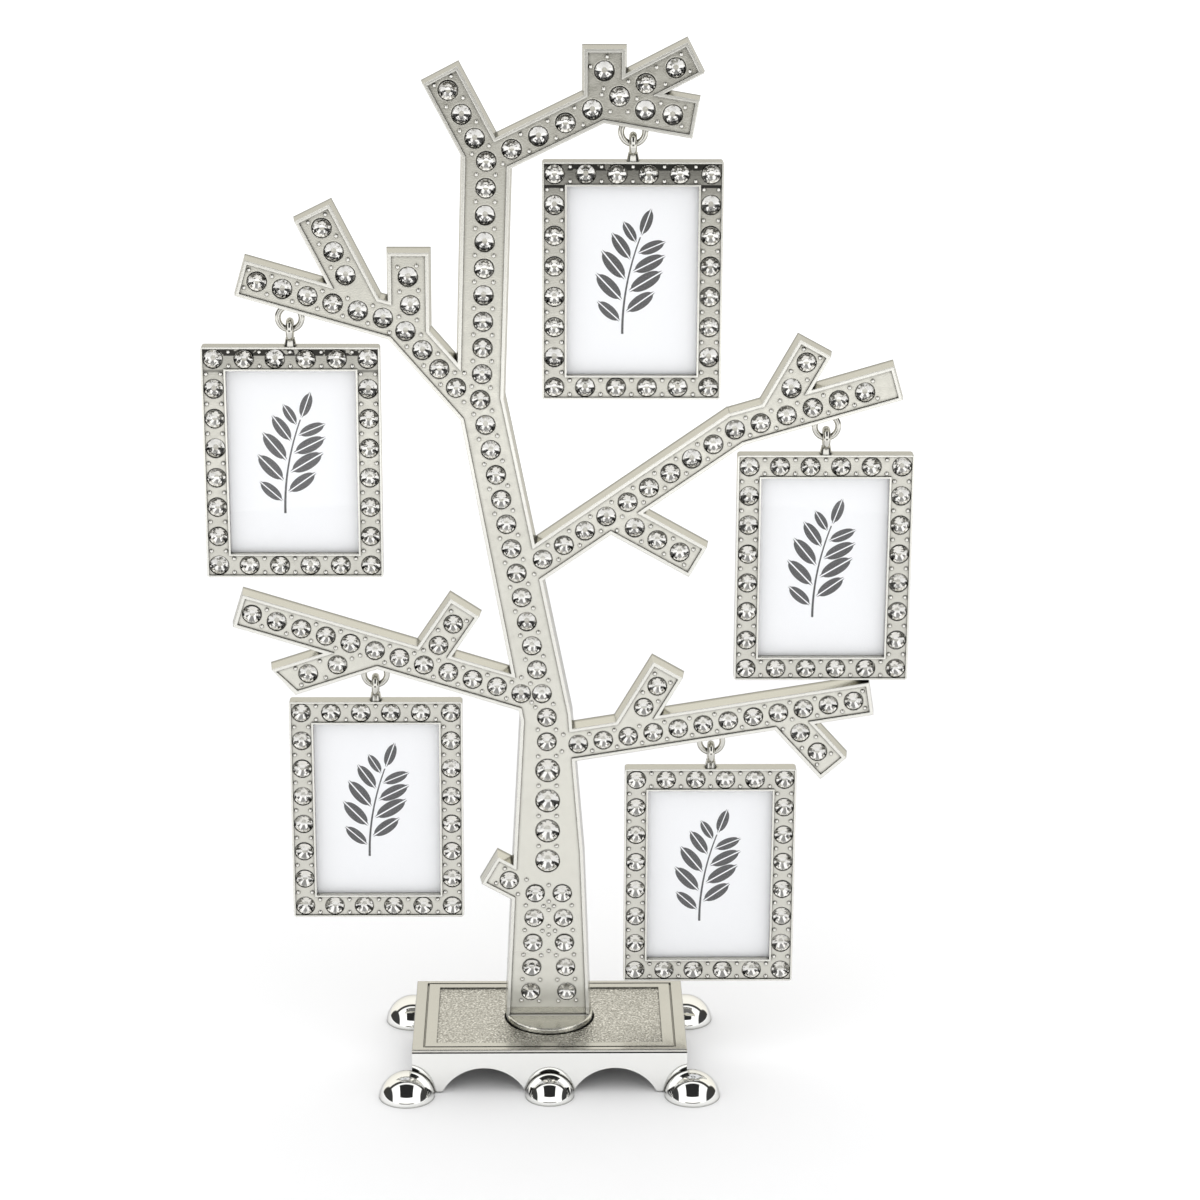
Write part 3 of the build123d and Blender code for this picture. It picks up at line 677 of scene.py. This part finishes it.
card_paper = grained(
    "card_paper",
    scale=2200.0,
    dark=(0.865, 0.875, 0.895),
    light=(0.89, 0.897, 0.915),
    depth=0.01 * MM,
    roughness=0.6,
)
back_lacquer = grained(
    "back_lacquer",
    scale=1300.0,
    dark=(0.060, 0.060, 0.062),
    light=(0.095, 0.095, 0.098),
    depth=0.08 * MM,
    roughness=0.45,
)
grey_ink = grained(
    "grey_ink",
    scale=1800.0,
    dark=(0.036, 0.036, 0.039),
    light=(0.052, 0.052, 0.056),
    depth=0.01 * MM,
    roughness=0.6,
)
print("made", clear_sheet.name, card_paper.name, back_lacquer.name, grey_ink.name)

# %% [markdown]
# ## Finishes on the CAD nodes
# A node's name says which piece it is, so its finish is looked up by name: first the pieces with a finish of
# their own, then the endings that the five frames share. The rest is the tree's satin nickel.

# %% Give every CAD node its finish
OWN_FINISHES = {
    "base_plate": stippled_nickel,
    "base_apron": apron_nickel,
    "plate_nuts": plain_steel,
    "trunk_screws": plain_steel,
    "trunk_washers": plain_steel,
    **frame_finishes,
}
SHARED_ENDINGS = {
    "_ring": wire_nickel,
    "_eye": wire_nickel,
    "_lens": clear_sheet,
    "_card": card_paper,
    "_back": back_lacquer,
    "_frame": frame_nickel,
}


def finish_for(name):
    """The finish of a CAD node, by its name."""
    if name in OWN_FINISHES:
        return OWN_FINISHES[name]
    if name.startswith("foot_"):
        return polished_nickel
    for ending, finish in SHARED_ENDINGS.items():
        if name.endswith(ending):
            return finish
    return tree_nickel


for name, node in nodes.items():
    node.data.materials.clear()
    node.data.materials.append(finish_for(name))
print("finished nodes:", len(nodes))

# %% [markdown]
# ## Cut stones
# The stones are foil-backed glass, cut like small brilliants: a flat table, a ring of star and kite facets,
# a thin girdle, and a back that narrows to a small flat. The CAD holds each as a plain eight-sided stone.
# Here one fine stone is modelled and copied to every seat. The corners of the cut are laid out as circles,
# and a convex hull stretches flat facets over them, which is how a cutter thinks of it: corners first, and
# the faces follow.

# %% One stone
STONE_CORNERS = 8
# Each ring of corners: how many times eight, its width and height as shares of the stone's width, its turn.
STONE_RINGS = (
    (1, 0.30, 0.000, 0.5),
    (2, 1.00, 0.215, 0.0),
    (2, 1.00, 0.245, 0.0),
    (1, 0.80, 0.345, 0.5),
    (1, 0.58, 0.410, 0.0),
)
STONE_HEIGHT = STONE_RINGS[-1][2]
FACET_FLAT = math.radians(1.0)

bpy.ops.object.select_all(action="DESELECT")
for number, (times, width, height, turn) in enumerate(STONE_RINGS):
    bpy.ops.mesh.primitive_circle_add(
        vertices=times * STONE_CORNERS,
        radius=width / 2,
        location=(0, 0, height),
        rotation=(0, 0, turn * math.tau / STONE_CORNERS),
        align="WORLD",
    )
    if number == 0:
        stone_pattern = bpy.context.object
        bpy.ops.object.mode_set(mode="EDIT")
bpy.ops.mesh.select_all(action="SELECT")
bpy.ops.mesh.convex_hull(face_threshold=0.01, shape_threshold=0.01)
bpy.ops.mesh.select_all(action="SELECT")
bpy.ops.mesh.dissolve_limited(angle_limit=FACET_FLAT)
bpy.ops.mesh.select_all(action="SELECT")
bpy.ops.mesh.normals_make_consistent(inside=False)
bpy.ops.object.mode_set(mode="OBJECT")
stone_pattern.data.transform(stone_pattern.matrix_world)
stone_pattern.matrix_world = Matrix.Identity(4)
stone_pattern.name = "stone_pattern"
print("one stone has", len(stone_pattern.data.polygons), "facets")

# %% [markdown]
# The front of a stone is clear glass and its back is silver foil, so light goes in, bounces off the foil
# facets and comes out broken into bright and dark flashes. The two finishes are put on by which way a facet
# faces. Real glass bends light more, but its flashes come from many small lamps. In this one soft tent a
# lower bend keeps the stones bright.

# %% Crystal and foil
CRYSTAL_BEND = 1.2
CRYSTAL_PATCHES = 300.0
CRYSTAL_HAZE = (0.0, 0.02)
FOIL_PATCHES = 900.0
FOIL_DARK = (0.95, 0.94, 0.905)
FOIL_LIGHT = (0.99, 0.98, 0.95)
FOIL_FACING = -0.1

crystal, crystal_tree, crystal_shader = new_finish("crystal")
crystal_clouds = noise(crystal_tree, object_place(crystal_tree), CRYSTAL_PATCHES)
feed(crystal_tree, crystal_shader.inputs["Roughness"], spread(crystal_tree, crystal_clouds, *CRYSTAL_HAZE))
crystal_shader.inputs["Transmission Weight"].default_value = 1.0
crystal_shader.inputs["IOR"].default_value = CRYSTAL_BEND

silver_foil, foil_tree, foil_shader = new_finish("silver_foil")
foil_clouds = noise(foil_tree, object_place(foil_tree), FOIL_PATCHES)
feed(foil_tree, foil_shader.inputs["Base Color"], mixed(foil_tree, foil_clouds, FOIL_DARK, FOIL_LIGHT))
foil_shader.inputs["Metallic"].default_value = 1.0
foil_shader.inputs["Roughness"].default_value = 0.05

stone_pattern.data.materials.append(crystal)
stone_pattern.data.materials.append(silver_foil)
for facet in stone_pattern.data.polygons:
    facet.material_index = 1 if facet.normal.z < FOIL_FACING else 0
print("foil facets:", sum(f.material_index for f in stone_pattern.data.polygons))

# %% [markdown]
# The seats are not typed in again. Each plain stone has a flat table at its very front, so the corners that
# lie there, grouped by nearness, give the middle of every seat. These two helpers find the seats and make the
# copies.

# %% Find seats and copy a pattern
TABLE_SLACK = 0.01 * MM
SAME_STONE = 4.0 * MM


def stone_places(name):
    """The middles (x, z) of a node's stones, found from the flat tables at its front."""
    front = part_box(name)[0].y
    groups = []
    for vertex in nodes[name].data.vertices:
        if vertex.co.y > front + TABLE_SLACK:
            continue
        point = Vector((vertex.co.x, vertex.co.z))
        for group in groups:
            if (group[0] - point).length < SAME_STONE:
                group.append(point)
                break
        else:
            groups.append([point])
    places = []
    for group in groups:
        low_x, high_x = min(p.x for p in group), max(p.x for p in group)
        low_z, high_z = min(p.y for p in group), max(p.y for p in group)
        places.append(Vector(((low_x + high_x) / 2, (low_z + high_z) / 2)))
    return places


def copied(pattern, matrices, name):
    """Copies of a pattern, each with its own mesh moved by a matrix, joined into one piece at the origin."""
    bpy.ops.object.select_all(action="DESELECT")
    for matrix in matrices:
        piece = pattern.copy()
        piece.data = pattern.data.copy()
        piece.data.transform(matrix)
        bpy.context.collection.objects.link(piece)
        piece.select_set(True)
    bpy.context.view_layer.objects.active = piece
    if len(matrices) > 1:
        bpy.ops.object.join()
    piece = bpy.context.view_layer.objects.active
    piece.name = name
    piece.data.name = name
    return piece


print("seats on the trunk:", len(stone_places("trunk_stones")))

# %% [markdown]
# No stone is glued in quite straight. Each copy is turned and tilted a little by chance, with a fixed seed so
# that every run is the same, and so the flashes differ from stone to stone.

# %% Set the stones
TO_FRONT = Matrix.Rotation(math.pi / 2, 4, "X")
STONE_TILT = 0.10
dice = random.Random(11)
seats = {}


def set_stones(name, body):
    """Fine stones in place of the plain ones of a CAD node."""
    low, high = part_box(name)
    width = (high.y - low.y) / STONE_HEIGHT
    seats[name] = stone_places(name)
    matrices = []
    for place in seats[name]:
        tilt = Matrix.Rotation(dice.uniform(-STONE_TILT, STONE_TILT), 4, "X")
        turn = Matrix.Rotation(dice.uniform(0, math.tau / STONE_CORNERS), 4, "Z")
        at = Matrix.Translation((place.x, high.y, place.y))
        matrices.append(at @ TO_FRONT @ tilt @ turn @ Matrix.Scale(width, 4))
    stones = copied(stone_pattern, matrices, name + "_cut")
    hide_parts(name)
    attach(stones, body)


set_stones("tree_stones", "stand")
set_stones("trunk_stones", "stand")
for place in PLACES:
    set_stones(place + "_stones", place + "_picture")
bpy.data.objects.remove(stone_pattern)
print("stones set:", {name: len(found) for name, found in seats.items()})

# %% [markdown]
# ## Beads
# Small cast beads stand between the stones, a pair to each gap, near the rims, and a pair in each tip. They
# are part of the casting, so they ride with it. A bead is half a ball on a small flared foot: a ball is cut
# in two by bisect, and the cut edge is drawn out into the foot. It is rubbed smoother than the casting round
# it, and painted brighter, a painted highlight.

# %% One bead
BEAD_RADIUS = 0.58 * MM
BEAD_SINK = 0.06 * MM
BEAD_CUT = 0.12 * BEAD_RADIUS
BEAD_FLARE = 1.15
BEAD_SMOOTH = math.radians(60)

bpy.ops.object.select_all(action="DESELECT")
bpy.ops.mesh.primitive_uv_sphere_add(segments=10, ring_count=6, radius=BEAD_RADIUS, location=(0, 0, 0))
bead_pattern = bpy.context.object
bead_pattern.name = "bead_pattern"
bpy.ops.object.mode_set(mode="EDIT")
bpy.ops.mesh.select_all(action="SELECT")
bpy.ops.mesh.bisect(plane_co=(0, 0, BEAD_CUT), plane_no=(0, 0, 1), clear_inner=True)
bpy.ops.mesh.extrude_edges_move(TRANSFORM_OT_translate={"value": (0, 0, -BEAD_SINK - BEAD_CUT)})
bpy.ops.transform.resize(value=(BEAD_FLARE, BEAD_FLARE, 1), center_override=(0, 0, 0))
bpy.ops.mesh.edge_face_add()
bpy.ops.mesh.select_all(action="SELECT")
bpy.ops.mesh.normals_make_consistent(inside=False)
bpy.ops.object.mode_set(mode="OBJECT")
bpy.ops.object.shade_smooth_by_angle(angle=BEAD_SMOOTH)
# Painted highlight: the bead's tone is brighter than the casting's, besides its smoother rubbed polish.
bead_nickel, _, _ = metal(
    "bead_nickel",
    tones=((0.86, 0.85, 0.81), (0.93, 0.92, 0.88)),
    polish=(0.06, 0.12),
    grain=SATIN_GRAIN,
    grain_depth=0.004 * MM,
    edge_radius=0.05 * MM,
)
bead_pattern.data.materials.append(bead_nickel)
bead_height = round(bead_pattern.dimensions.z / MM, 2)
print("one bead has", len(bead_pattern.data.polygons), "faces, height in mm", bead_height)

# %% [markdown]
# A gap is found by looking for neighbouring stones, and a tip is a stone with a neighbour on one side only.
# On each side a bead is tried, and kept only if rays from the front find flat casting under the whole of its
# foot, so no bead sits on a rim, in a seat or in the air.

# %% Find places for beads
TIP_BEAD_ALONG = 2.75 * MM
GAP_SHORTEST = 5.0 * MM
GAP_LONGEST = 9.0 * MM
BEAD_FOOT = BEAD_FLARE * BEAD_RADIUS
FOOT_RAYS = 6
RAY_START = -20.0 * MM
FLOOR_SLACK = 0.02 * MM


def floor_depth(casting, x, z):
    """Where a ray from the front first meets a casting, as y, or None."""
    hit, point, _, _ = casting.ray_cast((x, RAY_START, z), (0, 1, 0))
    return point.y if hit else None


def flat_under(casting, spot, floor):
    """Whether the floor of a casting lies under the whole foot of a bead."""
    feet = [spot]
    for step in range(FOOT_RAYS):
        angle = step * math.tau / FOOT_RAYS
        feet.append(spot + BEAD_FOOT * Vector((math.cos(angle), math.sin(angle))))
    depths = [floor_depth(casting, p.x, p.y) for p in feet]
    return all(d is not None and abs(d - floor) < FLOOR_SLACK for d in depths)


def bead_tries(stones, out):
    """Spots beside the gaps between stones, then beside the tips of their rows."""
    tries = []
    neighbours = {i: [] for i in range(len(stones))}
    for i, first in enumerate(stones):
        for j in range(i + 1, len(stones)):
            gap = stones[j] - first
            if GAP_SHORTEST < gap.length < GAP_LONGEST:
                neighbours[i].append(-gap.normalized())
                neighbours[j].append(gap.normalized())
                sideways = out * Vector((-gap.y, gap.x)).normalized()
                middle = first + gap / 2
                tries += [middle - sideways, middle + sideways]
    for i, found in neighbours.items():
        if len(found) == 1:
            end = stones[i] + TIP_BEAD_ALONG * found[0]
            sideways = out * Vector((-found[0].y, found[0].x))
            tries += [end - sideways, end + sideways]
    return tries


tree_seats = seats["tree_stones"] + seats["trunk_stones"]
print("stones to set beads between on the tree:", len(tree_seats))

# %% Set the beads
TREE_BEAD_OUT = 2.45 * MM
FRAME_BEAD_OUT = 1.9 * MM
BEADS_APART = 2.6 * BEAD_RADIUS


def set_beads(casting_name, stones, floor, out, body, name):
    """A piece of beads on one casting."""
    casting = nodes[casting_name]
    spots = []
    for spot in bead_tries(stones, out):
        clear = all((spot - other).length > BEADS_APART for other in spots)
        if clear and flat_under(casting, spot, floor):
            spots.append(spot)
    matrices = [Matrix.Translation((p.x, floor, p.y)) @ TO_FRONT for p in spots]
    beads = copied(bead_pattern, matrices, name)
    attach(beads, body)
    return len(spots)


tree_floor = TREE_FRONT + RIM_STEP
frame_floor = FRAME_FRONT + CHANNEL_DEPTH
bead_count = {"tree": set_beads("tree", tree_seats, tree_floor, TREE_BEAD_OUT, "stand", "tree_beads")}
for place in PLACES:
    bead_count[place] = set_beads(
        place + "_frame",
        seats[place + "_stones"],
        frame_floor,
        FRAME_BEAD_OUT,
        place + "_picture",
        place + "_beads",
    )
bpy.data.objects.remove(bead_pattern)
print("beads:", bead_count)

# %% [markdown]
# ## Printed cards
# Each card carries a small drawing in dark grey ink. Here it is a plain leafy sprig. The ink is a thin raised
# layer, so that the drawing is real geometry and stays sharp. Half a leaf is cut from a stretched circle and
# mirrored across a white midrib.

# %% One leaf
LEAF_CORNERS = 24
LEAF_WIDTH = 0.46
LEAF_POINT = 0.16
LEAF_END = 0.495
MIDRIB = 0.045
LEAF_LENGTH = 1 + 2 * LEAF_POINT

bpy.ops.object.select_all(action="DESELECT")
bpy.ops.mesh.primitive_circle_add(vertices=LEAF_CORNERS, radius=0.5, fill_type="NGON", location=(0, 0, 0))
leaf_pattern = bpy.context.object
leaf_pattern.name = "leaf_pattern"
bpy.ops.object.mode_set(mode="EDIT")
bpy.ops.mesh.select_all(action="SELECT")
bpy.ops.transform.resize(value=(1, LEAF_WIDTH, 1), center_override=(0, 0, 0))
bpy.ops.object.mode_set(mode="OBJECT")
for vertex in leaf_pattern.data.vertices:
    if abs(vertex.co.x) > LEAF_END:
        vertex.co.x += math.copysign(LEAF_POINT, vertex.co.x)
bpy.ops.object.mode_set(mode="EDIT")
bpy.ops.mesh.select_all(action="SELECT")
bpy.ops.mesh.bisect(plane_co=(0, MIDRIB / 2, 0), plane_no=(0, 1, 0), clear_inner=True)
bpy.ops.mesh.select_all(action="SELECT")
bpy.ops.mesh.duplicate()
bpy.ops.transform.resize(value=(1, -1, 1), center_override=(0, 0, 0))
bpy.ops.mesh.select_all(action="SELECT")
bpy.ops.transform.translate(value=(LEAF_LENGTH / 2, 0, 0))
bpy.ops.object.mode_set(mode="OBJECT")
print("leaf faces:", len(leaf_pattern.data.polygons))

# %% [markdown]
# The stem is drawn out of one small square. Its upper edge is extruded step by step along a bent line, and
# narrowed a little at each step, as a pen stroke thins towards its end.

# %% The stem
STEM_HEIGHT = 25.0 * MM
STEM_BEND = 4.5 * MM
STEM_STEPS = 16
STEM_WIDTH = 0.62 * MM
STEM_TAPER = 0.965


def stem_point(share):
    """A point of the stem's middle line and its heading, share of the way up."""
    point = Vector((STEM_BEND * share**2, STEM_HEIGHT * share))
    return point, math.atan2(STEM_HEIGHT, 2 * STEM_BEND * share)


bpy.ops.object.select_all(action="DESELECT")
bpy.ops.mesh.primitive_plane_add(size=STEM_WIDTH, location=(0, 0, 0))
stem = bpy.context.object
stem.name = "stem"
bpy.ops.object.mode_set(mode="EDIT")
bpy.ops.mesh.select_mode(type="EDGE")
bpy.ops.mesh.select_all(action="DESELECT")
bpy.ops.object.mode_set(mode="OBJECT")
for edge in stem.data.edges:
    edge.select = all(stem.data.vertices[i].co.y > 0 for i in edge.vertices)
bpy.ops.object.mode_set(mode="EDIT")
for step in range(STEM_STEPS):
    start, _ = stem_point(step / STEM_STEPS)
    end, _ = stem_point((step + 1) / STEM_STEPS)
    stroke = (end.x - start.x, end.y - start.y, 0)
    bpy.ops.mesh.extrude_edges_move(TRANSFORM_OT_translate={"value": stroke})
    bpy.ops.transform.resize(value=(STEM_TAPER, 1, 1), center_override=(end.x, end.y, 0))
bpy.ops.object.mode_set(mode="OBJECT")
print("stem reaches", [round(v / MM, 1) for v in stem.dimensions])

# %% [markdown]
# Leaves stand on the stem by turns, left and right, longest in the middle, with one at the tip. Each is the
# one leaf, copied, scaled and turned away from the stem's own heading at that height.

# %% Copy the leaves along the stem
# Each leaf: how far up the stem, which side, and its length in millimetres.
LEAVES = (
    (0.10, -1, 9.0), (0.20, 1, 10.2), (0.32, -1, 11.0), (0.42, 1, 11.4), (0.54, -1, 11.0),
    (0.63, 1, 10.6), (0.75, -1, 9.6), (0.83, 1, 8.8), (0.93, -1, 7.4), (1.0, 0, 8.4),
)
LEAF_OPENING = math.radians(50.0)
LEAF_STALK = 0.4 * MM

sprig_parts = [stem]
for share, side, length in LEAVES:
    point, heading = stem_point(share)
    turn = Matrix.Rotation(heading - side * LEAF_OPENING, 4, "Z")
    at = Matrix.Translation((point.x, point.y, 0)) @ turn @ Matrix.Translation((LEAF_STALK, 0, 0))
    leaf = copied(leaf_pattern, [at @ Matrix.Scale(length * MM / LEAF_LENGTH, 4)], "leaf")
    sprig_parts.append(leaf)
bpy.data.objects.remove(leaf_pattern)
bpy.ops.object.select_all(action="DESELECT")
for part in sprig_parts:
    part.select_set(True)
bpy.context.view_layer.objects.active = stem
bpy.ops.object.join()
sprig = bpy.context.object
sprig.name = "sprig"
print("sprig faces:", len(sprig.data.polygons), "size in mm:", [round(v / MM, 1) for v in sprig.dimensions])

# %% [markdown]
# The flat sprig is extruded into a layer of ink, and a copy is laid on each card. The drawing sits a little
# above the middle of its card and rides with its picture.

# %% Ink, and a print on every card
INK_DEPTH = 0.02 * MM
PRINT_MIDDLE = Vector((-0.4, 2.2)) * MM

bpy.ops.object.mode_set(mode="EDIT")
bpy.ops.mesh.select_mode(type="FACE")
bpy.ops.mesh.select_all(action="SELECT")
bpy.ops.mesh.extrude_region_move(TRANSFORM_OT_translate={"value": (0, 0, INK_DEPTH)})
bpy.ops.mesh.select_all(action="SELECT")
bpy.ops.mesh.normals_make_consistent(inside=False)
bpy.ops.object.mode_set(mode="OBJECT")
sprig.data.materials.clear()
sprig.data.materials.append(grey_ink)
corners = [vertex.co for vertex in sprig.data.vertices]
sprig_middle = Vector((
    (min(c.x for c in corners) + max(c.x for c in corners)) / 2,
    (min(c.y for c in corners) + max(c.y for c in corners)) / 2,
))
shift = PRINT_MIDDLE - sprig_middle

for place in PLACES:
    card_low, card_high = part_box(place + "_card")
    card_middle = (card_low + card_high) / 2
    at = Matrix.Translation((card_middle.x + shift.x, card_low.y, card_middle.z + shift.y)) @ TO_FRONT
    drawing = copied(sprig, [at], place + "_print")
    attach(drawing, place + "_picture")
bpy.data.objects.remove(sprig)
print("prints:", len(PLACES))

# %% [markdown]
# Last, nothing is left selected. The dressed model must stay inside the CAD model's box.

# %% Clear the selection
bpy.ops.object.select_all(action="DESELECT")
